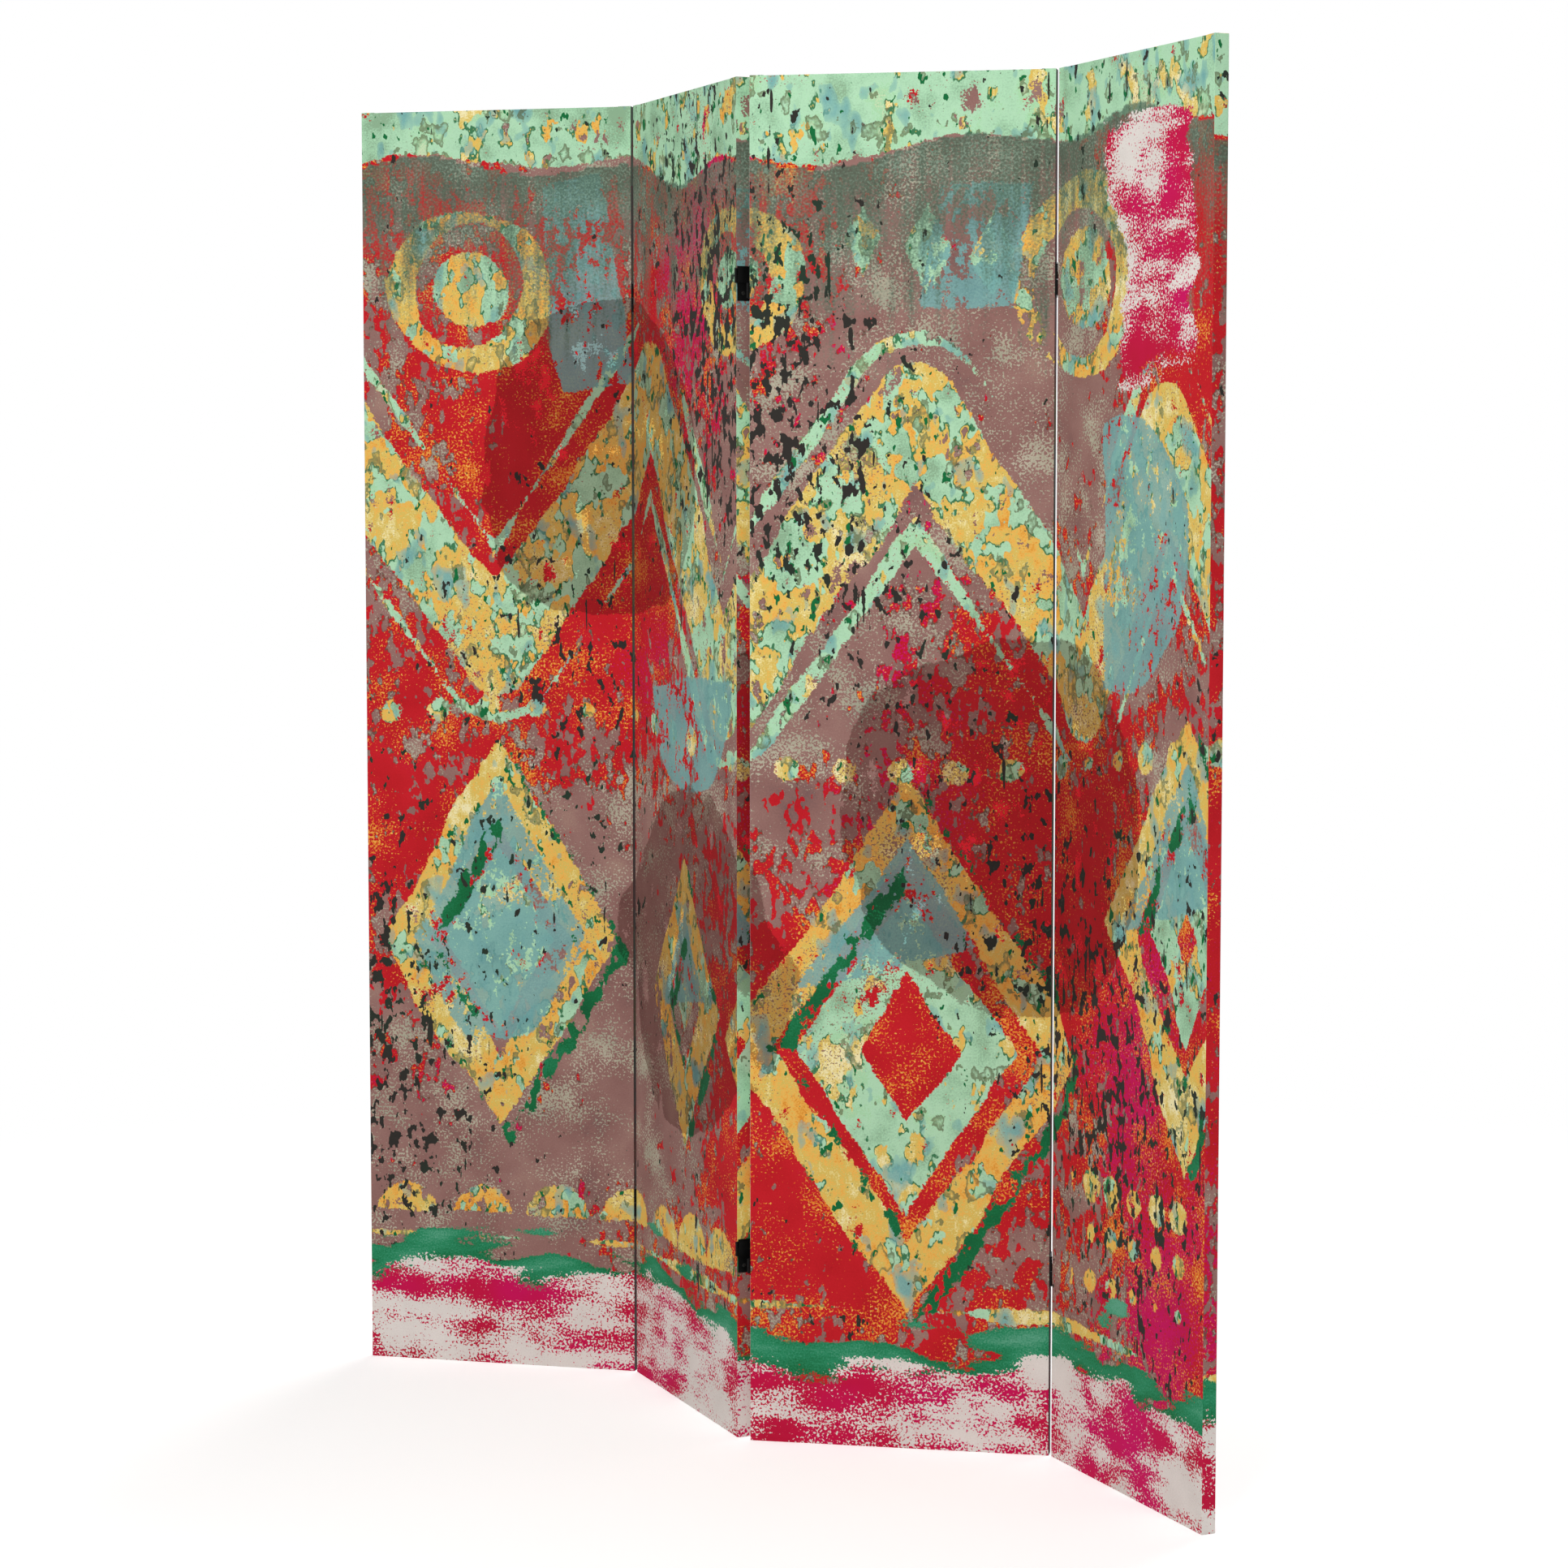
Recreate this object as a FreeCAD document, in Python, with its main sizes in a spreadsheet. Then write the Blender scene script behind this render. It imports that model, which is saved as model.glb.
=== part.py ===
"""Folding canvas room divider: four stretched-canvas panels joined by double-action screen hinges.

A panel's own frame has its origin at the middle of the panel's foot, x along its width from left to
right, y from its front to its back and z up. A hinge's own frame has its origin at the hinge's
middle, x across the gap between two panels laid out straight, y and z as the panel's. The whole
screen stands with its two free ends on a line along X and its front towards -Y.
"""
import FreeCAD, Part
import math
import os
import Sketcher
from FreeCAD import Placement, Rotation, Vector

doc = FreeCAD.newDocument("canvas_room_divider")

# Driving dimensions in millimetres and degrees.
DIMENSIONS = {
    # One panel, over the cloth.
    "panel_width": 400,
    "panel_height": 1800,
    "panel_edge_radius": 1,
    # Stretcher frame.
    "timber_thickness": 18,
    "timber_chamfer": 1,
    "stile_width": 35,
    "end_rail_width": 45,
    "cross_rail_width": 35,
    "cross_rail_thickness": 12,
    "cross_rail_spacing": 560,
    "tenon_length": 15,
    "tenon_thickness": 6,
    "tenon_shoulder": 6,
    "tenon_clearance": 0.1,
    # Cloth.
    "canvas_thickness": 0.5,
    "canvas_turnover": 20,
    "back_canvas_margin": 1.5,
    # Hinges.
    "low_hinge_rise": 246,
    "high_hinge_drop": 266.5,
    "hinge_gap": 3.8,
    "hinge_height": 45,
    "axis_stand_off": 1.2,
    "leaf_thickness": 0.9,
    "leaf_inset": 1.4,
    "knuckle_height": 9.6,
    "knuckle_play": 0.15,
    "barrel_gap": 1,
    "curl_angle": 285,
    "pin_clearance": 0.05,
    # Turn of each fold away from straight, as the screen stands.
    "first_fold_angle": 54.1,
    "middle_fold_angle": 56.6,
    "last_fold_angle": 55.5,
}

sizes = doc.addObject("Spreadsheet::Sheet", "Sizes")
for row, (alias, value) in enumerate(DIMENSIONS.items(), start=1):
    sizes.set(f"A{row}", alias)
    sizes.set(f"B{row}", str(value))
    sizes.setAlias(f"B{row}", alias)
doc.recompute()

# Sizes worked out from the driving ones, as expressions of the sheet.
WIDTH = "Sizes.panel_width"
HEIGHT = "Sizes.panel_height"
CLOTH = "Sizes.canvas_thickness"
TIMBER = "Sizes.timber_thickness"
THICKNESS = f"({TIMBER} + 3 * {CLOTH})"
TIMBER_FRONT = f"({CLOTH} - {THICKNESS} / 2)"
TIMBER_MIDDLE = f"({TIMBER_FRONT} + {TIMBER} / 2)"
STILE_OUTSIDE = f"({CLOTH} - {WIDTH} / 2)"
RAIL_LENGTH = f"({WIDTH} - 2 * {CLOTH} - 2 * Sizes.stile_width)"
KNUCKLE = "Sizes.knuckle_height"
KNUCKLE_RADIUS = "(Sizes.hinge_gap / 2)"
BORE_RADIUS = f"({KNUCKLE_RADIUS} - Sizes.leaf_thickness)"
AXIS = f"({THICKNESS} / 2 + Sizes.axis_stand_off)"
LEAF_EDGE = f"({THICKNESS} / 2 - Sizes.leaf_inset)"
CUT_MARGIN = "1"
PARALLEL = 1e-3
BARREL_START = "(Sizes.barrel_gap / 2)"
BARREL_MIDDLE = f"({BARREL_START} + {KNUCKLE})"
BARREL_END = f"({BARREL_START} + 2 * {KNUCKLE})"
NOTCH_REACH = f"({AXIS} + {KNUCKLE_RADIUS} + {CUT_MARGIN} - {LEAF_EDGE})"
FRONT_NOTCH = f"-({LEAF_EDGE} + {NOTCH_REACH})"


def size(expression):
    """The number that an expression of the sheet comes to."""
    return float(sizes.evalExpression(expression))


def bind(item, expressions):
    """Bind properties of an object, given by their paths, to expressions of the sheet."""
    for path, expression in expressions.items():
        item.setExpression(path, expression)


def new_body(name):
    return doc.addObject("PartDesign::Body", name)


def new_sketch(body, name, plane, offset="0"):
    """An empty sketch on one of a body's own planes, moved along its normal."""
    support = next(item for item in body.Origin.OriginFeatures if item.Role == plane)
    sketch = body.newObject("Sketcher::SketchObject", name)
    sketch.AttachmentSupport = (support, "")
    sketch.MapMode = "FlatFace"
    sketch.setExpression("AttachmentOffset.Base.z", offset)
    return sketch


def constrain(sketch, *terms):
    return sketch.addConstraint(Sketcher.Constraint(*terms))


def dimension(sketch, expression, kind, *terms):
    """A dimension of a sketch that follows an expression of the sheet."""
    index = constrain(sketch, kind, *terms, size(expression))
    sketch.setExpression(f"Constraints[{index}]", expression)


def join(sketch, *ends):
    """Make pairs of points meet, each point given by its curve and its place on it."""
    for pair in ends:
        constrain(sketch, "Coincident", *pair)


def add_rectangle(sketch, left, low, width, height):
    """A rectangle from its lower left corner and its sides, all expressions."""
    x, y = size(left), size(low)
    right, top = x + size(width), y + size(height)
    corners = [Vector(x, y), Vector(right, y), Vector(right, top), Vector(x, top)]
    sides = [Part.LineSegment(corners[i], corners[(i + 1) % 4]) for i in range(4)]
    first = sketch.addGeometry(sides)[0]
    for i in range(4):
        join(sketch, (first + i, 2, first + (i + 1) % 4, 1))
        constrain(sketch, "Vertical" if i % 2 else "Horizontal", first + i)
    dimension(sketch, left, "DistanceX", first, 1)
    dimension(sketch, low, "DistanceY", first, 1)
    dimension(sketch, width, "DistanceX", first, 1, first, 2)
    dimension(sketch, height, "DistanceY", first + 1, 1, first + 1, 2)


def centre_on_axis(sketch, curve, height):
    """Put a round curve's centre on the sketch's vertical axis."""
    constrain(sketch, "PointOnObject", curve, 3, -2)
    dimension(sketch, height, "DistanceY", curve, 3)


def pad(body, name, sketch, length, symmetric=False):
    feature = body.newObject("PartDesign::Pad", name)
    feature.Profile = sketch
    feature.SideType = "Symmetric" if symmetric else "One side"
    feature.setExpression("Length", length)
    return feature


def pocket(body, name, sketch, length=None):
    """A cut from the sketch against its normal, or through everything both ways."""
    feature = body.newObject("PartDesign::Pocket", name)
    feature.Profile = sketch
    if length:
        feature.setExpression("Length", length)
    else:
        feature.Type = "ThroughAll"
        feature.SideType = "Symmetric"
    return feature


def ease_edges(body, kind, base, direction, path, expression):
    """Fillet or chamfer the edges of a straight pad that run along a direction."""
    doc.recompute()
    chosen = [
        f"Edge{number}"
        for number, edge in enumerate(base.Shape.Edges, start=1)
        if edge.tangentAt(edge.FirstParameter).cross(direction).Length < PARALLEL
    ]
    feature = body.newObject(f"PartDesign::{kind}", f"{body.Name}_eased")
    feature.Base = (base, chosen)
    feature.setExpression(path, expression)
    return feature


def box(name, expressions):
    feature = doc.addObject("Part::Box", name)
    bind(feature, expressions)
    return feature


def cut(name, base, tool):
    feature = doc.addObject("Part::Cut", name)
    feature.Base = base
    feature.Tool = tool
    return feature


def placed(label, item, placement):
    """A copy of a piece under its own label and placement."""
    feature = doc.addObject("Part::Compound", label)
    feature.Links = [item]
    feature.Placement = placement
    return feature


def shifted(x, y=0, z=0, turn=0):
    """A move after a turn about the vertical."""
    return Placement(Vector(x, y, z), Rotation(Vector(0, 0, 1), turn))


# Each rail's middle height, width and thickness.
RAILS = {
    "bottom_rail": (f"({CLOTH} + Sizes.end_rail_width / 2)", "Sizes.end_rail_width", TIMBER),
    "lower_cross_rail": (
        f"({HEIGHT} - Sizes.cross_rail_spacing) / 2", "Sizes.cross_rail_width", "Sizes.cross_rail_thickness",
    ),
    "upper_cross_rail": (
        f"({HEIGHT} + Sizes.cross_rail_spacing) / 2", "Sizes.cross_rail_width", "Sizes.cross_rail_thickness",
    ),
    "top_rail": (f"({HEIGHT} - {CLOTH} - Sizes.end_rail_width / 2)", "Sizes.end_rail_width", TIMBER),
}


def tenon_height(rail_width):
    return f"({rail_width} - 2 * Sizes.tenon_shoulder)"


def make_left_stile():
    """The left upright of a frame, with a mortise for every rail in its inner face."""
    body = new_body("stile")
    section = new_sketch(body, "stile_section", "XY_Plane", CLOTH)
    add_rectangle(section, STILE_OUTSIDE, TIMBER_FRONT, "Sizes.stile_width", TIMBER)
    length = pad(body, "stile_length", section, f"{HEIGHT} - 2 * {CLOTH}")
    ease_edges(body, "Chamfer", length, Vector(0, 0, 1), "Size", "Sizes.timber_chamfer")

    inner_face = f"{STILE_OUTSIDE} + Sizes.stile_width"
    mortises = new_sketch(body, "mortise_mouths", "YZ_Plane", inner_face)
    clear = "Sizes.tenon_clearance"
    wide = f"(Sizes.tenon_thickness + 2 * {clear})"
    for middle, rail_width, _ in RAILS.values():
        high = f"({tenon_height(rail_width)} + 2 * {clear})"
        add_rectangle(mortises, f"{TIMBER_MIDDLE} - {wide} / 2", f"{middle} - {high} / 2", wide, high)
    pocket(body, "mortises", mortises, f"Sizes.tenon_length + {clear}")
    return body


def make_right_stile(left_stile):
    """The left stile mirrored in the panel's middle."""
    feature = doc.addObject("Part::Mirroring", "mirrored_stile")
    feature.Source = left_stile
    feature.Normal = Vector(1, 0, 0)
    return feature


def make_rail(name, middle, rail_width, thickness):
    """A rail between the stiles with eased long edges and a stub tenon at each end."""
    body = new_body(name)
    section = new_sketch(body, f"{name}_section", "YZ_Plane")
    front = f"{TIMBER_MIDDLE} - {thickness} / 2"
    add_rectangle(section, front, f"{middle} - {rail_width} / 2", thickness, rail_width)
    length = pad(body, f"{name}_length", section, RAIL_LENGTH, symmetric=True)
    ease_edges(body, "Chamfer", length, Vector(1, 0, 0), "Size", "Sizes.timber_chamfer")

    tenon = new_sketch(body, f"{name}_tenon", "YZ_Plane")
    high = tenon_height(rail_width)
    side = f"{TIMBER_MIDDLE} - Sizes.tenon_thickness / 2"
    add_rectangle(tenon, side, f"{middle} - {high} / 2", "Sizes.tenon_thickness", high)
    pad(body, f"{name}_tenons", tenon, f"{RAIL_LENGTH} + 2 * Sizes.tenon_length", symmetric=True)
    return body


def make_front_canvas():
    """Cloth over the front and round all four edges, turned over onto the frame's back.

    It is a block with rounded upright edges, less the space of the frame and less the opening
    inside the turned-over edge.
    """
    body = new_body("wrap")
    section = new_sketch(body, "wrap_section", "XY_Plane")
    add_rectangle(section, f"-{WIDTH} / 2", f"-{THICKNESS} / 2", WIDTH, f"{THICKNESS} - {CLOTH}")
    block = pad(body, "wrap_block", section, HEIGHT)
    ease_edges(body, "Fillet", block, Vector(0, 0, 1), "Radius", "Sizes.panel_edge_radius")
    frame_space = box("frame_space", {
        "Length": f"{WIDTH} - 2 * {CLOTH}",
        "Width": TIMBER,
        "Height": f"{HEIGHT} - 2 * {CLOTH}",
        "Placement.Base.x": STILE_OUTSIDE,
        "Placement.Base.y": TIMBER_FRONT,
        "Placement.Base.z": CLOTH,
    })
    opening = box("turnover_opening", {
        "Length": f"{WIDTH} - 2 * Sizes.canvas_turnover",
        "Width": TIMBER,
        "Height": f"{HEIGHT} - 2 * Sizes.canvas_turnover",
        "Placement.Base.x": f"Sizes.canvas_turnover - {WIDTH} / 2",
        "Placement.Base.y": TIMBER_MIDDLE,
        "Placement.Base.z": "Sizes.canvas_turnover",
    })
    return cut("turned_wrap", cut("closed_wrap", body, frame_space), opening)


def make_back_canvas():
    """A flat sheet over the back that covers the turned-over edge of the front cloth."""
    margin = "Sizes.back_canvas_margin"
    return box("back_sheet", {
        "Length": f"{WIDTH} - 2 * {margin}",
        "Width": CLOTH,
        "Height": f"{HEIGHT} - 2 * {margin}",
        "Placement.Base.x": f"{margin} - {WIDTH} / 2",
        "Placement.Base.y": f"{THICKNESS} / 2 - {CLOTH}",
        "Placement.Base.z": margin,
    })


def add_curled_profile(sketch):
    """Section of a plate: a flat leaf whose two ends curl round the front and the back axis.

    Each curl starts in line with the leaf, on the left of its axis, and turns through the curl's
    angle, which leaves a slit between its end and the leaf.
    """
    axis, outer, inner = size(AXIS), size(KNUCKLE_RADIUS), size(BORE_RADIUS)
    back, front = Vector(0, axis), Vector(0, -axis)
    start = math.pi
    end = start + math.radians(size("Sizes.curl_angle"))

    def point(centre, radius, angle):
        return centre + Vector(radius * math.cos(angle), radius * math.sin(angle))

    def curl(centre, radius, first, last):
        return Part.ArcOfCircle(Part.Circle(centre, Vector(0, 0, 1), radius), first, last)

    curves = sketch.addGeometry([
        Part.LineSegment(point(front, outer, start), point(back, outer, start)),
        curl(back, outer, -end, start),
        Part.LineSegment(point(back, outer, -end), point(back, inner, -end)),
        curl(back, inner, -end, start),
        Part.LineSegment(point(back, inner, start), point(front, inner, start)),
        curl(front, inner, start, end),
        Part.LineSegment(point(front, inner, end), point(front, outer, end)),
        curl(front, outer, start, end),
    ])
    outer_face, back_outer, back_end, back_inner = curves[:4]
    inner_face, front_inner, front_end, front_outer = curves[4:]
    join(
        sketch,
        (outer_face, 2, back_outer, 2),
        (back_outer, 1, back_end, 1),
        (back_end, 2, back_inner, 1),
        (back_inner, 2, inner_face, 1),
        (inner_face, 2, front_inner, 1),
        (front_inner, 2, front_end, 1),
        (front_end, 2, front_outer, 2),
        (front_outer, 1, outer_face, 1),
        (back_outer, 3, back_inner, 3),
        (front_outer, 3, front_inner, 3),
    )
    for outer_arc, inner_arc, cut_end, place, outer_point, inner_point in (
        (back_outer, back_inner, back_end, AXIS, 2, 1),
        (front_outer, front_inner, front_end, f"-{AXIS}", 1, 2),
    ):
        centre_on_axis(sketch, outer_arc, place)
        dimension(sketch, KNUCKLE_RADIUS, "Radius", outer_arc)
        dimension(sketch, BORE_RADIUS, "Radius", inner_arc)
        constrain(sketch, "Horizontal", outer_face, outer_point, outer_arc, 3)
        constrain(sketch, "Horizontal", inner_face, inner_point, inner_arc, 3)
        constrain(sketch, "PointOnObject", outer_arc, 3, cut_end)


def make_plate():
    """A left plate, with a front knuckle in its upper half and a back knuckle in its lower half.

    The curled section runs the plate's full height, and notches above and below leave one knuckle
    on each side.
    """
    body = new_body("hinge_plate")
    section = new_sketch(body, "plate_section", "XY_Plane")
    add_curled_profile(section)
    pad(body, "plate_height", section, "Sizes.hinge_height", symmetric=True)
    notches = new_sketch(body, "plate_notches", "YZ_Plane")
    past_end = f"(Sizes.hinge_height / 2 + {CUT_MARGIN})"
    beyond = f"({past_end} - {BARREL_END})"
    before = f"({past_end} + {BARREL_MIDDLE})"
    add_rectangle(notches, FRONT_NOTCH, BARREL_END, NOTCH_REACH, beyond)
    add_rectangle(notches, FRONT_NOTCH, f"-{past_end}", NOTCH_REACH, before)
    add_rectangle(notches, LEAF_EDGE, f"-{past_end}", NOTCH_REACH, beyond)
    add_rectangle(notches, LEAF_EDGE, f"-{BARREL_MIDDLE}", NOTCH_REACH, before)
    pocket(body, "plate_notching", notches)
    return body


def make_link():
    """A link: a strap with a round eye at the lower half of each end and a pin standing on each eye.

    Its middle height is where the eyes end and the plates' knuckles, which close round the pins,
    begin.
    """
    body = new_body("hinge_link")
    section = new_sketch(body, "link_section", "XY_Plane")
    axis, outer, half = size(AXIS), size(KNUCKLE_RADIUS), size("Sizes.leaf_thickness") / 2
    lean = math.asin(half / outer)
    neck = axis - outer * math.cos(lean)
    back = Part.Circle(Vector(0, axis), Vector(0, 0, 1), outer)
    front = Part.Circle(Vector(0, -axis), Vector(0, 0, 1), outer)
    right, back_eye, left, front_eye = section.addGeometry([
        Part.LineSegment(Vector(half, -neck), Vector(half, neck)),
        Part.ArcOfCircle(back, lean - math.pi / 2, 1.5 * math.pi - lean),
        Part.LineSegment(Vector(-half, neck), Vector(-half, -neck)),
        Part.ArcOfCircle(front, math.pi / 2 + lean, 2.5 * math.pi - lean),
    ])
    join(
        section,
        (right, 2, back_eye, 1),
        (back_eye, 2, left, 1),
        (left, 2, front_eye, 1),
        (front_eye, 2, right, 1),
    )
    for eye, place in ((back_eye, AXIS), (front_eye, f"-{AXIS}")):
        centre_on_axis(section, eye, place)
        dimension(section, KNUCKLE_RADIUS, "Radius", eye)
    for line, place in ((right, "Sizes.leaf_thickness / 2"), (left, "-Sizes.leaf_thickness / 2")):
        constrain(section, "Vertical", line)
        dimension(section, place, "DistanceX", line, 1)
    pad(body, "link_height", section, f"2 * {KNUCKLE}", symmetric=True)

    notches = new_sketch(body, "link_notches", "YZ_Plane")
    for side in (LEAF_EDGE, FRONT_NOTCH):
        high = f"{KNUCKLE} + Sizes.knuckle_play + {CUT_MARGIN}"
        add_rectangle(notches, side, "-Sizes.knuckle_play", NOTCH_REACH, high)
    pocket(body, "link_notching", notches)

    pins = new_sketch(body, "link_pins", "XY_Plane", f"-{KNUCKLE}")
    radius = f"{BORE_RADIUS} - Sizes.pin_clearance"
    for place in (AXIS, f"-{AXIS}"):
        pin = pins.addGeometry(Part.Circle(Vector(0, size(place)), Vector(0, 0, 1), size(radius)))
        centre_on_axis(pins, pin, place)
        dimension(pins, radius, "Radius", pin)
    pad(body, "link_pin_length", pins, f"2 * {KNUCKLE}")
    return body


# Middle heights of a junction's two hinges.
HINGE_HEIGHTS = {"low": "Sizes.low_hinge_rise", "high": f"({HEIGHT} - Sizes.high_hinge_drop)"}

# Folds from left to right: their turn and the side their axis is on, -1 front or 1 back.
FOLDS = (("Sizes.first_fold_angle", -1), ("Sizes.middle_fold_angle", 1), ("Sizes.last_fold_angle", -1))


def hinge_line(end):
    """How far a hinge's middle is from a panel's middle: end -1 is the left one, 1 the right."""
    return end * (size(WIDTH) + size("Sizes.hinge_gap")) / 2


def panel_places():
    """Where the four panels stand, chained from the left one through the folds' axes.

    The chain is then turned so that its two free ends are on a line along X.
    """
    places = [Placement()]
    heading = 0
    for fold, side in FOLDS:
        depth = side * size(AXIS)
        axis = places[-1].multVec(Vector(hinge_line(1), depth))
        heading += side * size(fold)
        offset = shifted(0, turn=heading).multVec(Vector(hinge_line(-1), depth))
        places.append(shifted(axis.x - offset.x, axis.y - offset.y, turn=heading))
    half = size(WIDTH) / 2
    run = places[-1].multVec(Vector(half, 0, 0)) - places[0].multVec(Vector(-half, 0, 0))
    level = shifted(0, turn=-math.degrees(math.atan2(run.y, run.x)))
    return [level.multiply(place) for place in places]


def build_panels(places):
    """Every piece of every panel, numbered from the left."""
    left_stile = make_left_stile()
    pieces = {"left_stile": left_stile, "right_stile": make_right_stile(left_stile)}
    for name, rail in RAILS.items():
        pieces[name] = make_rail(name, *rail)
    pieces["front_canvas"] = make_front_canvas()
    pieces["back_canvas"] = make_back_canvas()
    return [
        placed(f"panel_{number}_{name}", piece, place)
        for number, place in enumerate(places, start=1)
        for name, piece in pieces.items()
    ]


def build_hinges(places):
    """Every piece of the two hinges of every junction.

    The link that pivots on a fold's axis at the left panel goes with the right panel, and the other
    way round: the upper link on a front axis and the lower link on a back axis.
    """
    plate, link = make_plate(), make_link()
    link_height = size(BARREL_MIDDLE)
    upside_down = Placement(Vector(0, 0, -link_height), Rotation(Vector(0, 1, 0), 180))
    nodes = []
    for number, (_, side) in enumerate(FOLDS, start=1):
        for level, height in HINGE_HEIGHTS.items():
            left = places[number - 1].multiply(shifted(hinge_line(1), z=size(height)))
            right = places[number].multiply(shifted(hinge_line(-1), z=size(height)))
            upper, lower = (right, left) if side < 0 else (left, right)
            name = f"hinge_{number}_{level}"
            nodes += [
                placed(f"{name}_left_plate", plate, left),
                placed(f"{name}_right_plate", plate, right.multiply(shifted(0, turn=180))),
                placed(f"{name}_upper_link", link, upper.multiply(shifted(0, z=link_height))),
                placed(f"{name}_lower_link", link, lower.multiply(upside_down)),
            ]
    return nodes


def centre_on_origin(nodes):
    """Move every piece so that the origin is under the middle of the whole screen's box."""
    whole = FreeCAD.BoundBox()
    for node in nodes:
        whole.add(node.Shape.BoundBox)
    move = shifted(-whole.Center.x, -whole.Center.y)
    for node in nodes:
        node.Placement = move.multiply(node.Placement)


def check(nodes):
    """Stop if any object failed or any piece's shape is missing or wrong."""
    for item in doc.Objects:
        if "Invalid" in item.State or "Error" in item.State:
            raise RuntimeError(f"{item.Label} failed: {item.State}")
    for node in nodes:
        if node.Shape.isNull() or not node.Shape.isValid():
            raise RuntimeError(f"{node.Label} has no valid shape")


panels = panel_places()
parts = build_panels(panels) + build_hinges(panels)
doc.recompute()
centre_on_origin(parts)
doc.recompute()
check(parts)
os.makedirs("parts", exist_ok=True)
for part in parts:
    part.Shape.exportStep(f"parts/{part.Label}.step")
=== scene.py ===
"""Looks of the folding canvas room divider: printed cloth, black hinges, bare frame timber and a studio.

A panel's own frame is the source's: origin at the middle of its foot, x to the right, y to the back,
z up. Cloth positions on the print are metres: u runs over the four panels from the left, v is up.
"""
import math

import bpy
import numpy as np
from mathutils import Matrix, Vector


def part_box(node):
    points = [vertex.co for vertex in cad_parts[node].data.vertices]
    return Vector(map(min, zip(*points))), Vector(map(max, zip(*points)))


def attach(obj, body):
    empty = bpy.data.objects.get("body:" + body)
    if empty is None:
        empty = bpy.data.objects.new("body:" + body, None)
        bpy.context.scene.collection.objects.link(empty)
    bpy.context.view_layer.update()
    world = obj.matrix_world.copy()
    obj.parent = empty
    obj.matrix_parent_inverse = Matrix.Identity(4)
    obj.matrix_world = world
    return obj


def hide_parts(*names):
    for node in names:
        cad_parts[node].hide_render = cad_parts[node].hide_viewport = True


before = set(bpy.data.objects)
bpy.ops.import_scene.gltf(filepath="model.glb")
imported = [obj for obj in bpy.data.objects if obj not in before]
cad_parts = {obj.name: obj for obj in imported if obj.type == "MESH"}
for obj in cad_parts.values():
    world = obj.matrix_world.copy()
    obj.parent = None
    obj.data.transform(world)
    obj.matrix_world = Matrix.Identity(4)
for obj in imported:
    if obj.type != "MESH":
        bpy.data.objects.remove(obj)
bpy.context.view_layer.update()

PANELS = (1, 2, 3, 4)

# Sizes of the source, in metres. Openings are between the frame's bars, with the cloth's edge at 0.
PANEL_WIDTH, PANEL_HEIGHT, PANEL_THICKNESS = 0.4, 1.8, 0.0195
CLOTH = 0.0005
TURNOVER = 0.02
BACK_MARGIN = 0.0015
STILE_INSIDE = 0.0355
RAIL_OPENINGS = ((0.0455, 0.6025), (0.6375, 1.1625), (1.1975, 1.7545))
HINGE_HEIGHTS = (0.246, 1.5335)
LEAF_THICKNESS = 0.0009
HALF_WIDTH, HALF_HEIGHT = PANEL_WIDTH / 2, PANEL_HEIGHT / 2
FRONT = -PANEL_THICKNESS / 2
# There is one cloth in front of the timber and there are two behind it.
TIMBER_MIDDLE = -CLOTH / 2
# From a panel's outline to the cut edge of its front cloth, over the end and onto the back.
WRAP = PANEL_THICKNESS - CLOTH + TURNOVER

# Forms of the cloth that only the looks have, in metres. Its bends are as round as it is thick.
CLOTH_PITCH = 0.005
EDGE_RADIUS = CLOTH
BEND_LINES = 4
CLOTH_DIP = 0.0003
FOLD_WIDTH, FOLD_STEP = 0.0185, 0.0003

# How far the print goes over a panel's ends, how far on it starts afresh there, and room in its layout.
PRINT_REACH = 0.0192
EDGE_SHIFT = 0.27
LAYOUT_MARGIN = 0.004

# Screws, in metres: places on a leaf, and a domed head. Its slots are in shares of its radius.
SCREW_RISE = 0.0127
SCREW_RADIUS = 0.0026
HEAD_CELLS = 14
HEAD_HEIGHT, HEAD_FALL, SLOT_DEPTH = 0.00034, 0.0003, 0.00026
SLOT_HALF_WIDTH, SLOT_WALL = 0.16, 0.06
SLOT_REACH, SLOT_END = 0.62, 0.1

# Studio: the floor's tone, glow and fade to white, light all round, and lamps: place, size and watts.
FLOOR_REACH = 40
FLOOR_TONE, FLOOR_GLOW = 0.9, 0.38
FLOOR_FADE, FLOOR_FADE_SOFT = 1.9, 0.9
FRONT_LIGHT, REAR_LIGHT = 0.5, 0.22
BRIGHT_WAY = (0.55, -0.835, 0)
KEY_LAMP = ((1.05, -3.0, 3.1), 1.8, 75)
REAR_LAMP = ((-0.6, 3.0, 4.6), 3, 150)
LAMP_AIM = (0, 0, HALF_HEIGHT)

# The photograph's camera: lens and sensor in millimetres, place in metres, turns in degrees.
FOCAL_LENGTH, SENSOR_WIDTH = 85.19, 36
CAMERA_PLACE = (3.1885, -3.7947, 1.2661)
CAMERA_DOWN, CAMERA_TURN = 4.55, 40.18


def panel_place(number):
    """A panel's turn and foot in the row frame, from the middles of its two stiles."""
    left, right = (
        np.mean(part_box(f"panel_{number}_{side}_stile"), axis=0) for side in ("left", "right")
    )
    across = (right - left) / np.linalg.norm(right - left)
    turn = np.array([[across[0], -across[1], 0], [across[1], across[0], 0], [0, 0, 1]])
    foot = (left + right) / 2 - turn @ (0, TIMBER_MIDDLE, 0)
    foot[2] = 0
    return turn, foot


PLACES = {number: panel_place(number) for number in PANELS}


# Meshes.


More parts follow.
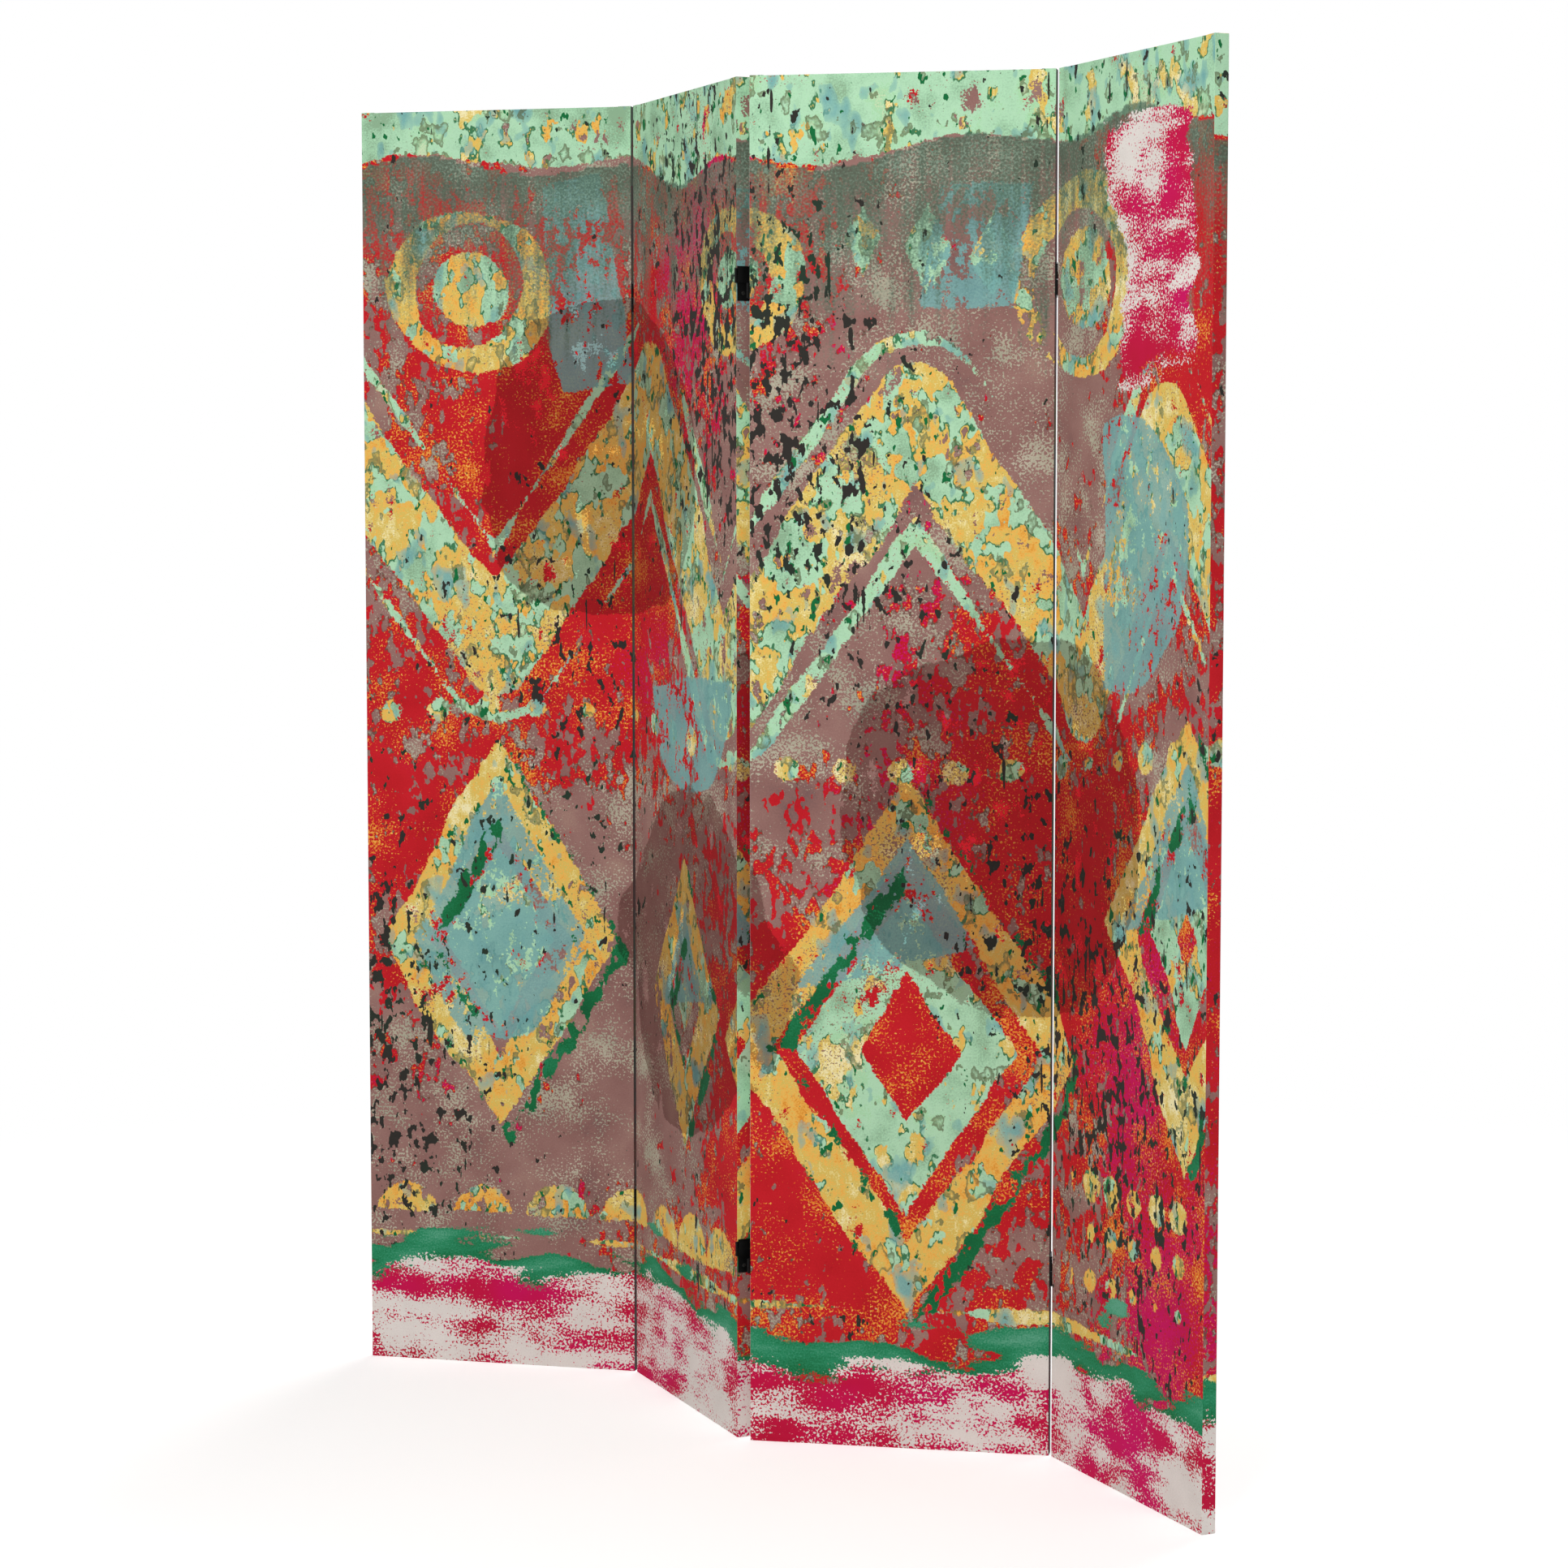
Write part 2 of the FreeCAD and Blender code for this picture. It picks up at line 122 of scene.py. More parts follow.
def grid_faces(rows, columns, first=0):
    """Quads of a grid of points in row order, turning from columns to rows."""
    index = first + np.arange(rows * columns).reshape(rows, columns)
    corners = (index[:-1, :-1], index[:-1, 1:], index[1:, 1:], index[1:, :-1])
    return np.stack(corners, axis=-1).reshape(-1, 4)


def make_piece(name, points, faces, material, number):
    """A smooth mesh piece at the origin that rides on a panel, from points in the panel's own frame."""
    turn, foot = PLACES[number]
    mesh = bpy.data.meshes.new(name)
    mesh.vertices.add(len(points))
    mesh.vertices.foreach_set("co", (points @ turn.T + foot).astype(np.float32).ravel())
    mesh.loops.add(faces.size)
    mesh.loops.foreach_set("vertex_index", faces.astype(np.int32).ravel())
    mesh.polygons.add(len(faces))
    mesh.polygons.foreach_set("loop_start", np.arange(0, faces.size, 4, dtype=np.int32))
    mesh.polygons.foreach_set("use_smooth", np.ones(len(faces), bool))
    mesh.update(calc_edges=True)
    mesh.materials.append(material)
    piece = bpy.data.objects.new(name, mesh)
    bpy.context.scene.collection.objects.link(piece)
    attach(piece, f"panel_{number}")
    return piece


# Cloth.


def bend_lines():
    """Distances from a sharp edge that become an even arc when the edge is rounded.

    A line at radius * (1 - tan(angle)) from the edge ends up at that angle on the arc.
    """
    return EDGE_RADIUS * (1 - np.tan(np.linspace(np.pi / 4, 0, BEND_LINES)))


def cloth_lines(low, high):
    """Lines from low to high: even steps of about the cloth's pitch, and bends at both ends."""
    bend = bend_lines()
    steps = max(2, round((high - low - 2 * EDGE_RADIUS) / CLOTH_PITCH))
    even = np.linspace(low + EDGE_RADIUS, high - EDGE_RADIUS, steps + 1)[1:-1]
    return np.concatenate((low + bend, even, (high - bend)[::-1]))


def fold_lines(low, high):
    """Pairs of lines close together, on both sides of the edges of the corner folds."""
    edges = (low + FOLD_WIDTH, high - FOLD_WIDTH)
    return np.array([edge + side * FOLD_STEP / 2 for edge in edges for side in (-1, 1)])


def round_edges(points, low, high):
    """Move points of a box's surface onto the box with rounded edges.

    Each point goes from its nearest point of the box shrunk by the radius, outwards by the radius.
    """
    core = np.clip(points, low + EDGE_RADIUS, high - EDGE_RADIUS)
    away = points - core
    return core + EDGE_RADIUS * away / np.linalg.norm(away, axis=-1, keepdims=True)


def between_bars(points):
    """How far cloth is from the frame's bars, from 0 on a bar to 1 in the middle of an opening.

    The product of half sine waves across the panel and between the rails.
    """
    across = np.cos(np.clip(points[:, 0] / (HALF_WIDTH - STILE_INSIDE), -1, 1) * np.pi / 2)
    heights = [np.clip((points[:, 2] - low) / (high - low), 0, 1) for low, high in RAIL_OPENINGS]
    return across * sum(np.sin(height * np.pi) for height in heights)


def cloth_shell(low, high, turnover):
    """Points, faces and print positions of cloth over a box's front and edges.

    The front and the four edges of the box are grids that share their border points. With a
    turnover, strips of that width go on over the back. Print positions go on from the front's
    over each edge, as if the cloth lay flat.
    """
    x = cloth_lines(low[0], high[0])
    if turnover:
        x = np.sort(np.concatenate((x, fold_lines(low[0], high[0]))))
    z = cloth_lines(low[2], high[2])
    y = cloth_lines(low[1], high[1]) if turnover else low[1] + bend_lines()
    # Each patch is its rows and columns, and where a row and a column meet in space and on the print.
    # The first are the front, left, right, top and bottom.
    patches = [
        (z, x, lambda r, c: (c, low[1], r), lambda r, c: (c, r)),
        (z, y[::-1], lambda r, c: (low[0], c, r), lambda r, c: (low[0] + low[1] - c, r)),
        (z, y, lambda r, c: (high[0], c, r), lambda r, c: (high[0] - low[1] + c, r)),
        (y, x, lambda r, c: (c, r, high[2]), lambda r, c: (c, high[2] - low[1] + r)),
        (y[::-1], x, lambda r, c: (c, r, low[2]), lambda r, c: (c, low[2] + low[1] - r)),
    ]
    if turnover:
        n = np.searchsorted(x, low[0] + turnover) + 1
        m = np.searchsorted(z, low[2] + turnover) + 1
        inner = x[n - 1:len(x) - n + 1]
        back = y[-1]
        deep = back - low[1]
        patches += [
            (z, x[:n][::-1], lambda r, c: (c, back, r), lambda r, c: (2 * low[0] - deep - c, r)),
            (z, x[-n:][::-1], lambda r, c: (c, back, r), lambda r, c: (2 * high[0] + deep - c, r)),
            (z[-m:], inner[::-1], lambda r, c: (c, back, r), lambda r, c: (c, 2 * high[2] + deep - r)),
            (z[:m], inner[::-1], lambda r, c: (c, back, r), lambda r, c: (c, 2 * low[2] - deep - r)),
        ]
    points, faces, prints, count = [], [], [], 0
    for rows, columns, place, spread in patches:
        r, c = (part.ravel() for part in np.meshgrid(rows, columns, indexing="ij"))
        points.append(np.stack(np.broadcast_arrays(*place(r, c)), axis=-1))
        prints.append(np.stack(np.broadcast_arrays(*spread(r, c)), axis=-1))
        faces.append(grid_faces(len(rows), len(columns), count))
        count += len(r)
    points, faces, prints = (np.concatenate(part) for part in (points, faces, prints))
    _, first, joined = np.unique(np.round(points, 7), axis=0, return_index=True, return_inverse=True)
    rounded = round_edges(points[first], np.array(low), np.array(high))
    return rounded, joined.ravel()[faces], prints[faces]


# The print: signed distances to painted forms in metres, positive inside, on print positions u, v.


def disc(u, v, middle, radius):
    """A disc: its radius less the distance from its middle."""
    return radius - np.hypot(u - middle[0], v - middle[1])


def block(u, v, middle, size, angle):
    """A rectangle turned by an angle: the smaller of the distances to its two pairs of sides."""
    turn = math.radians(angle)
    du, dv = u - middle[0], v - middle[1]
    along = du * math.cos(turn) + dv * math.sin(turn)
    across = dv * math.cos(turn) - du * math.sin(turn)
    return np.minimum(size[0] / 2 - abs(along), size[1] / 2 - abs(across))


def diamond(u, v, middle, size):
    """A diamond: one less the shares of its half width and half height, times its inner radius."""
    half_width, half_height = size[0] / 2, size[1] / 2
    share = 1 - abs(u - middle[0]) / half_width - abs(v - middle[1]) / half_height
    return share * half_width * half_height / math.hypot(half_width, half_height)


def stroke(u, v, points, width):
    """A painted line through points: half its width less the distance to its nearest run."""
    runs = []
    for (start_u, start_v), (end_u, end_v) in zip(points, points[1:]):
        du, dv = end_u - start_u, end_v - start_v
        share = np.clip(((u - start_u) * du + (v - start_v) * dv) / (du * du + dv * dv), 0, 1)
        runs.append(np.hypot(u - start_u - share * du, v - start_v - share * dv))
    return width / 2 - np.minimum.reduce(runs)


def beads(u, v, height, pitch, radius):
    """A row of dots along a line: one disc repeated at a pitch."""
    return radius - np.hypot((u / pitch % 1 - 0.5) * pitch, v - height)


def union(*forms):
    """Inside any of the forms: the largest of their distances."""
    return np.maximum.reduce(forms)


def overlap(*forms):
    """Inside all of the forms: the smallest of their distances."""
    return np.minimum.reduce(forms)


def rim(form, width):
    """A band of a width just inside a form's outline."""
    return np.minimum(form, width - form)


# Places, sizes and line widths of the motifs, in metres on the print. Rows are height, pitch and radius.
ZIGZAG = (
    (-0.08, 1.40), (0.20, 1.03), (0.47, 1.42), (0.75, 0.99),
    (1.02, 1.37), (1.28, 1.00), (1.49, 1.34), (1.70, 1.06),
)
ZIGZAG_WIDTH = 0.112
ECHO_OFFSET, ECHO_WIDTH = 0.034, 0.009
DIAMONDS = (
    ((0.20, 0.62), (0.36, 0.56)),
    ((1.01, 0.53), (0.50, 0.72)),
    ((0.60, 0.56), (0.26, 0.40)),
    ((1.55, 0.72), (0.40, 0.56)),
)
DIAMOND_FRAME, DIAMOND_INSIDE = 0.058, 0.052
CORE_INSET, CORE_WIDTH = 0.085, 0.062
SHADOW_RIGHT, SHADOW_DOWN = 0.016, 0.014
SUNS = (((0.16, 1.55), 0.12), ((0.77, 1.54), 0.10), ((1.27, 1.53), 0.13))
SUN_RING, SUN_CORE_INSET = 0.04, 0.06
GEMS = tuple(((0.95 + 0.085 * i, 1.59 - 0.012 * i), (0.062, 0.11)) for i in range(3))
BEAD_HEIGHT, BEAD_SWING, BEAD_PITCH, BEAD_RADIUS = 0.925, 0.03, 0.074, 0.015
SCALLOP_HEIGHT, SCALLOP_PITCH, SCALLOP_RADIUS, SCALLOP_END = 0.215, 0.114, 0.052, 0.80
DOT_HEIGHTS, DOT_PITCH, DOT_RADIUS = (0.255, 0.315, 0.375), 0.058, 0.017
DOT_START, DOT_END = 1.25, 1.57
LINE_HEIGHT, LINE_WIDTH = 0.185, 0.010
SKY_HEIGHT, SMOKE_DEPTH, FOOT_HEIGHT = 1.705, 0.34, 0.125
GLAZES = (((0.40, 1.30), 0.23), ((1.17, 0.83), 0.25), ((0.62, 0.62), 0.24))


def print_fields(u, v):
    """Every painted layer of the print at positions u, v.

    The light layer is the union of its motifs, and its tone, from mint at -1 to ochre at 1, is that
    of the motif furthest inside. Wash, rose and ink, which tell where those colours lie, are each a
    few broad waves, and the last panel is redder. Sky and foot are bands with wavy edges.
    """
    diamonds = [diamond(u, v, *shape) for shape in DIAMONDS]
    frames = union(*(rim(form, DIAMOND_FRAME) for form in diamonds))
    cores = union(*(rim(form - CORE_INSET, CORE_WIDTH) for form in diamonds))
    inside = union(*(form - DIAMOND_INSIDE for form in diamonds))
    zigzag = stroke(u, v, ZIGZAG, ZIGZAG_WIDTH)
    suns = [disc(u, v, *shape) for shape in SUNS]
    gems = union(*(diamond(u, v, *shape) for shape in GEMS))
    bead_height = BEAD_HEIGHT + BEAD_SWING * np.sin(4.2 * u + 0.6)
    scallops = overlap(
        beads(u, v, SCALLOP_HEIGHT, SCALLOP_PITCH, SCALLOP_RADIUS), v - SCALLOP_HEIGHT, SCALLOP_END - u,
    )
    dots = union(*(beads(u, v, height, DOT_PITCH, DOT_RADIUS) for height in DOT_HEIGHTS))
    sky = v - SKY_HEIGHT - 0.02 * np.sin(5 * u + 1) - 0.012 * np.sin(19 * u)
    motifs = (
        (0.15, zigzag),
        (0.75, frames),
        (-0.5, cores),
        (0.6, union(*(rim(form, SUN_RING) for form in suns))),
        (-0.1, beads(u, v, bead_height, BEAD_PITCH, BEAD_RADIUS)),
        (-0.2, union(*(form - SUN_CORE_INSET for form in suns))),
        (0.9, scallops),
        (-0.3, gems),
        (0.4, overlap(dots, u - DOT_START, DOT_END - u)),
        (-0.6, ECHO_WIDTH / 2 - abs(zigzag + ECHO_OFFSET)),
        (0.2, LINE_WIDTH / 2 - abs(v - LINE_HEIGHT)),
        (-0.6, sky),
    )
    tones = np.array([tone for tone, _ in motifs])
    forms = np.stack([form for _, form in motifs])
    shifted = [diamond(u - SHADOW_RIGHT, v + SHADOW_DOWN, *shape) for shape in DIAMONDS]
    shadows = union(*(rim(form, DIAMOND_FRAME) for form in shifted))
    shade = union(
        overlap(disc(u, v, (0.62, 1.00), 0.15), 1.00 - v),
        overlap(disc(u, v, (1.37, 1.18), 0.17), u - 1.33),
        overlap(cores + 0.045, v - u * 0.2 - 0.44),
        block(u, v, (0.33, 1.56), (0.10, 0.30), 8),
        block(u, v, (1.10, 1.58), (0.12, 0.16), -6),
    )
    wash = (
        np.sin(3.1 * u + 0.9) * np.sin(3.4 * v + 0.2) + 0.7 * np.sin(6.3 * u - 4.1 * v + 1)
        + 0.5 * np.sin(9.7 * u + 6.1 * v) - np.clip(inside * 14, 0, 1)
        - 0.5 * np.clip((u - 1.2) / 0.2, 0, 1) + 0.1
    )
    foot = FOOT_HEIGHT + 0.02 * np.sin(4.6 * u) + 0.012 * np.sin(15 * u) - v
    brushed = overlap(block(u, v, (1.46, 1.56), (0.20, 0.30), 5), -suns[2])
    return {
        "light": forms.max(axis=0),
        "tone": tones[forms.argmax(axis=0)],
        "shade": shade,
        "wash": wash,
        "rose": np.sin(4.1 * u + 1.3) * np.cos(2.3 * v - 0.3) + 0.4 * np.sin(11 * u - 3 * v),
        "smoke": np.where(sky < 0, 1 + sky / SMOKE_DEPTH, sky * -20),
        "pink": union(foot, brushed),
        "foot": foot,
        "shadow": overlap(shadows, -frames),
        "ink": np.sin(4.3 * u + 1.6) * np.sin(3.7 * v - 0.6) + 0.5 * np.sin(9 * u + 5 * v),
        "glaze": union(*(disc(u, v, *shape) for shape in GLAZES)),
    }


def add_print(piece, flat, start, inner=0):
    """Give a cloth piece its print: positions, painted layers, and a map to lay it out flat.

    Flat positions are metres from the middle of the panel's foot, going on over its edges, where the
    print starts afresh further on. The end at the inner side, -1 or 1, which meets the next panel in a
    fold, gets painted shade: a dark colour in place of the shadow in the fold. On the print that
    middle is at u = start. The layout puts the cloth's lower and upper halves side by side in a square.
    """
    mesh = piece.data
    over = abs(flat[..., 0]).max(axis=1, keepdims=True) > HALF_WIDTH + EDGE_RADIUS / 100
    place = flat + (start, 0)
    place[..., 0] += np.where(over, EDGE_SHIFT, 0)
    positions = mesh.uv_layers.new(name="print")
    positions.data.foreach_set("uv", place.astype(np.float32).ravel())
    fields = print_fields(place[..., 0].ravel(), place[..., 1].ravel())
    beyond = np.maximum(abs(flat[..., 0]) - HALF_WIDTH, abs(flat[..., 1] - HALF_HEIGHT) - HALF_HEIGHT)
    fields["bare"] = beyond.ravel() - PRINT_REACH
    # Painted shade: the end that meets the next panel in a fold is marked to be painted near-black, in place
    # of the shadow there.
    fields["painted_fold_shade"] = np.broadcast_to(over & (inner * flat[..., 0] > 0), over.shape[:1] + (4,)).ravel()
    for name, values in fields.items():
        layer = mesh.attributes.new(name, "FLOAT", "CORNER")
        layer.data.foreach_set("value", values.astype(np.float32))

    upper = flat[..., 1].mean(axis=1, keepdims=True) > HALF_HEIGHT
    reach = WRAP + LAYOUT_MARGIN
    across = (flat[..., 0] + HALF_WIDTH + reach) / (PANEL_WIDTH + 2 * reach) / 2 + 0.5 * upper
    along = np.where(upper, flat[..., 1] - HALF_HEIGHT, flat[..., 1] + reach) / (HALF_HEIGHT + reach)
    layout = np.stack((across, along * (1 - LAYOUT_MARGIN) + LAYOUT_MARGIN / 2), axis=-1)
    squared = mesh.uv_layers.new(name="OFBake")
    squared.data.foreach_set("uv", layout.astype(np.float32).ravel())


def add_front_cloth(number, material):
    """The front cloth, wrapped round a panel.

    It dips between the bars. The spare cloth of each top corner is folded over the top: one more
    layer, as far as it reaches.
    """
    low = (-HALF_WIDTH, FRONT, 0)
    high = (HALF_WIDTH, -FRONT - CLOTH, PANEL_HEIGHT)
    points, faces, flat = cloth_shell(low, high, TURNOVER)
    points[:, 1] += CLOTH_DIP * np.where(points[:, 1] < FRONT + CLOTH, between_bars(points), 0)
    upward = np.clip((points[:, 2] - PANEL_HEIGHT) / EDGE_RADIUS + 1, 0, 1)
    points[:, 2] += CLOTH * upward * (abs(points[:, 0]) > HALF_WIDTH - FOLD_WIDTH)
    name = f"panel_{number}_front_canvas"
    cloth = make_piece(f"{name}_cloth", points, faces, material, number)
    add_print(cloth, flat, PANEL_WIDTH * (number - 0.5), inner=1 if number % 2 else -1)
    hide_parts(name)


def add_back_cloth(number, material):
    """The back cloth: made as a front, then turned half round. The print runs on, seen from behind."""
    low = (BACK_MARGIN - HALF_WIDTH, FRONT, BACK_MARGIN)
    high = (HALF_WIDTH - BACK_MARGIN, FRONT + 2 * EDGE_RADIUS, PANEL_HEIGHT - BACK_MARGIN)
    points, faces, flat = cloth_shell(low, high, 0)
    points[:, :2] *= -1
    name = f"panel_{number}_back_canvas"
    cloth = make_piece(f"{name}_cloth", points, faces, material, number)
    add_print(cloth, flat, PANEL_WIDTH * (len(PANELS) + 0.5 - number))
    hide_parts(name)


# Screws.


def screw_head():
    """A raised countersunk head in its own frame, z out of the plate: a square grid pressed into a disc.

    Each coordinate shrinks by the root of 1 less half the other's square, which takes the square's
    outline to the rim. Height falls from the middle to the rim as a shallow dome, less a cross of two
    slots whose walls are a smooth step of the distance to the nearer slot's side.
    """
    even = np.linspace(-1, 1, HEAD_CELLS + 1)
    across, along = np.meshgrid(even, even)
    x = across * np.sqrt(1 - along ** 2 / 2)
    y = along * np.sqrt(1 - across ** 2 / 2)
    share = np.hypot(x, y)
    wall = np.clip((SLOT_HALF_WIDTH - np.minimum(abs(x), abs(y))) / SLOT_WALL, 0, 1)
    slot = wall * np.clip((SLOT_REACH - share) / SLOT_END, 0, 1)
    z = HEAD_HEIGHT - HEAD_FALL * share ** 2 - SLOT_DEPTH * slot
    points = np.stack((x * SCREW_RADIUS, y * SCREW_RADIUS, z), axis=-1).reshape(-1, 3)
    return points, grid_faces(HEAD_CELLS + 1, HEAD_CELLS + 1)


def add_screws(number, end, material):
    """The screws of one panel edge's two hinges; end is -1 at the left edge and 1 at the right."""
    head, faces = screw_head()
    # The head's z points away from the panel, its x up.
    heads = np.stack((end * head[:, 2], -end * head[:, 1], head[:, 0]), axis=-1)
    face = end * (HALF_WIDTH + LEAF_THICKNESS)
    middles = [(face, 0, rise + side * SCREW_RISE) for rise in HINGE_HEIGHTS for side in (-1, 1)]
    points = np.concatenate([heads + middle for middle in middles])
    every = np.concatenate([faces + len(head) * i for i in range(len(middles))])
    name = f"hinge_{number}_left_screws" if end > 0 else f"hinge_{number - 1}_right_screws"
    make_piece(name, points, every, material, number)


# Materials.

NOISE_REACH = 0.3
NOISE_STEP = (3.7, 1.9)


def colour(code):
    """Linear RGBA of a six-digit sRGB code."""
    shares = np.array([int(code[i:i + 2], 16) for i in (0, 2, 4)]) / 255
    linear = np.where(shares <= 0.04045, shares / 12.92, ((shares + 0.055) / 1.055) ** 2.4)
    return (*linear, 1)


class Finish:
    """A material's nodes, with one short call for each kind that the finishes use.

    Noises and other values are kept by name, so that a sum is written as names and weights. A name
    that isn't kept is an attribute of the mesh.
    """

    def __init__(self, name, roughness, specular=0.5):
        self.material = bpy.data.materials.new(name)
        self.material.use_nodes = True
        self.tree = self.material.node_tree
        self.surface = self.tree.nodes["Principled BSDF"]
        self.surface.inputs["Roughness"].default_value = roughness
        self.surface.inputs["Specular IOR Level"].default_value = specular
        self.kept = {}
        self.seed = 0

    def add(self, kind, inputs, output=0, **settings):
        """A node with its settings and inputs, each a value or another node's output."""
        node = self.tree.nodes.new(f"ShaderNode{kind}")
        for name, value in settings.items():
            setattr(node, name, value)
        for key, value in inputs.items():
            if isinstance(value, bpy.types.NodeSocket):
                self.tree.links.new(value, node.inputs[key])
            else:
                node.inputs[key].default_value = value
        return node.outputs[output]

    def set(self, name, value):
        """Link a value to the surface."""
        self.tree.links.new(value, self.surface.inputs[name])

    def keep(self, name, value):
        """Keep a value under a name."""
        self.kept[name] = value
        return value

    def value(self, name):
        """A kept value, or else the mesh's attribute of that name."""
        if name not in self.kept:
            self.keep(name, self.add("Attribute", {}, output="Fac", attribute_name=name))
        return self.kept[name]

    def object_place(self):
        """Positions on the piece, in metres."""
        return self.add("TexCoord", {}, output="Object")

    def math(self, operation, a, b=0.0):
        """One step of arithmetic."""
        return self.add("Math", {0: a, 1: b}, operation=operation)

    def times(self, a, b):
        """The product of two values."""
        return self.math("MULTIPLY", a, b)

    def blend(self, **weights):
        """The sum of named values, each times its weight."""
        total = 0.0
        for name, weight in weights.items():
            inputs = {0: self.value(name), 1: weight, 2: total}
            total = self.add("Math", inputs, operation="MULTIPLY_ADD")
        return total

    def noise(self, name, place, scale, detail=2, rough=0.5, stretch=(1, 1, 1), turn=0):
        """Keep a noise about zero, within about its reach. Each one lies elsewhere in the noise's plane."""
        self.seed += 1
        start = (NOISE_STEP[0] * self.seed, NOISE_STEP[1] * self.seed, 0)
        inputs = {"Vector": place, "Scale": stretch, "Rotation": (0, 0, turn), "Location": start}
        inputs = {"Vector": self.add("Mapping", inputs), "Scale": scale, "Detail": detail, "Roughness": rough}
        return self.keep(name, self.math("SUBTRACT", self.add("TexNoise", inputs), 0.5))

    def cover(self, value, soft, level=0.0):
        """0 where a value is under a level, 1 over it, with a soft edge."""
        inputs = {"Value": value, 1: level - soft, 2: level + soft}
        return self.add("MapRange", inputs, interpolation_type="SMOOTHSTEP")

    def spread(self, value, low, high, first, last):
        """First where a value is low, last where it is high, and evenly between."""
        return self.add("MapRange", {"Value": value, 1: low, 2: high, 3: first, 4: last})

    def ramp(self, value, *codes):
        """Colours in even steps over a noise's range."""
        node = self.tree.nodes.new("ShaderNodeValToRGB")
        self.tree.links.new(self.spread(value, -NOISE_REACH, NOISE_REACH, 0, 1), node.inputs[0])
        stops = node.color_ramp.elements
        while len(stops) < len(codes):
            stops.new(1)
        for i, code in enumerate(codes):
            stops[i].position = i / (len(codes) - 1)
            stops[i].color = colour(code)
        return node.outputs[0]

    def mix(self, share, below, above, blend="MIX"):
        """A share of one colour over another."""
        inputs = {0: share, 6: below, 7: above}
        return self.add("Mix", inputs, output=2, data_type="RGBA", blend_type=blend)

    def paint(self, below, above, soft, level, **weights):
        """A colour over another where a sum of named values is over a level."""
        return self.mix(self.cover(self.blend(**weights), soft, level), below, above)

    def dusted(self, *codes):
        """A print colour that varies a little, by mist and dust."""
        return self.ramp(self.blend(mist=0.8, dust=0.4), *codes)

    def bump(self, height, distance, strength):
        """Small relief of a height from 0 to 1, over a distance in metres."""
        inputs = {"Height": height, "Distance": distance, "Strength": strength}
        self.set("Normal", self.add("Bump", inputs))


# Noises of the print: names, scale per metre, detail, stretch and turn. The order sets where each lies.
EVEN, UPRIGHT, DRAWN_UP, DRAWN_ACROSS = (1, 1, 1), (1, 0.58, 1), (1, 0.06, 1), (0.3, 1, 1)
PRINT_NOISES = (
    (("broad", "drift"), 4, 2, EVEN, 0),
    (("cloud", "mist", "haze"), 13, 3, EVEN, 0),
    (("pool", "puddle", "tide"), 34, 2, UPRIGHT, 0),
    (("blob", "blot", "knot"), 88, 2, UPRIGHT, 0),
    (("crumb", "fray"), 230, 3, EVEN, 0),
    (("sand", "salt"), 310, 2, EVEN, 0),
    (("dust",), 430, 1, EVEN, 0),
    (("drip",), 75, 2, DRAWN_UP, 0),
    (("streak",), 24, 3, DRAWN_ACROSS, 0.12),
)
THREAD_SCALE = 420.0


def red_ground(f):
    """Red with rose patches, and orange stipple that thickens towards the light forms."""
    ground = f.ramp(f.blend(cloud=0.8, dust=0.3), "A30F1C", "BE1520", "C91A26", "C4123A")
    rose = f.dusted("B40A48", "C6085A", "D00C68")
    ground = f.paint(ground, rose, 0.03, 0.13, rose=0.16, drift=0.4, fray=0.4, sand=0.5)
    f.keep("near", f.spread(f.value("light"), -0.10, 0.0, 0.0, 0.1))
    ember = f.ramp(f.blend(salt=1.4), "D2421C", "E67E28", "F4CB62")
    return f.paint(ground, ember, 0.012, 0.2, sand=1.1, haze=0.8, near=1, tide=0.3)


def mint_and_ochre(f):
    """Watery mint with ochre pools, and a broken green line round each pool."""
    water = f.blend(broad=0.6, cloud=1.0, mist=0.9, tide=0.6, dust=0.5)
    mint = f.ramp(water, "8CAF8E", "9DC8A4", "ABD7B2", "B4DEBA", "A3D6A6", "C8DCB4")
    grain = f.blend(broad=0.7, blot=0.7, mist=0.9, dust=0.5)
    ochre = f.ramp(grain, "DE8E30", "EBA744", "EDBB5C", "D9BC5C", "E9D486", "F3E8B6")
    warm = f.blend(tone=0.17, pool=0.7, blob=0.38, mist=0.9, dust=0.03)
    painted = f.mix(f.cover(warm, 0.006), mint, ochre)
    apart = f.cover(f.math("ABSOLUTE", warm), 0.008, 0.018)
    drawn = f.cover(f.blend(blot=1, haze=0.7), 0.03, -0.02)
    line = f.times(drawn, f.math("SUBTRACT", 1.0, apart))
    return f.mix(line, painted, colour("3E7A52"))


def stains(f, painted):
    """Teal pools that deepen inwards, olive tide marks that fade inwards, specks and deep green spots."""
    pond = f.blend(puddle=0.9, haze=0.8, dust=0.06)
    depth = f.spread(pond, 0.08, 0.24, 0.3, 0.95)
    teal = f.dusted("5C9296", "74ACA9", "90C2B8")
    painted = f.mix(f.times(f.cover(pond, 0.006, 0.1), depth), painted, teal)
    stain = f.blend(tide=0.9, cloud=0.9, blot=0.3, crumb=0.12, sand=0.05)
    mark = f.math("SUBTRACT", f.cover(stain, 0.006, 0.13), f.cover(stain, 0.05, 0.2))
    painted = f.mix(f.times(mark, 0.8), painted, f.dusted("4A5236", "66704C", "7E8C60"))
    painted = f.paint(painted, colour("95705F"), 0.02, 0.24, salt=1.1, drift=0.9, mist=0.5)
    green = colour("0E6A38")
    return f.paint(painted, green, 0.006, 0.19, knot=0.9, tide=0.7, ink=0.03, dust=0.05)


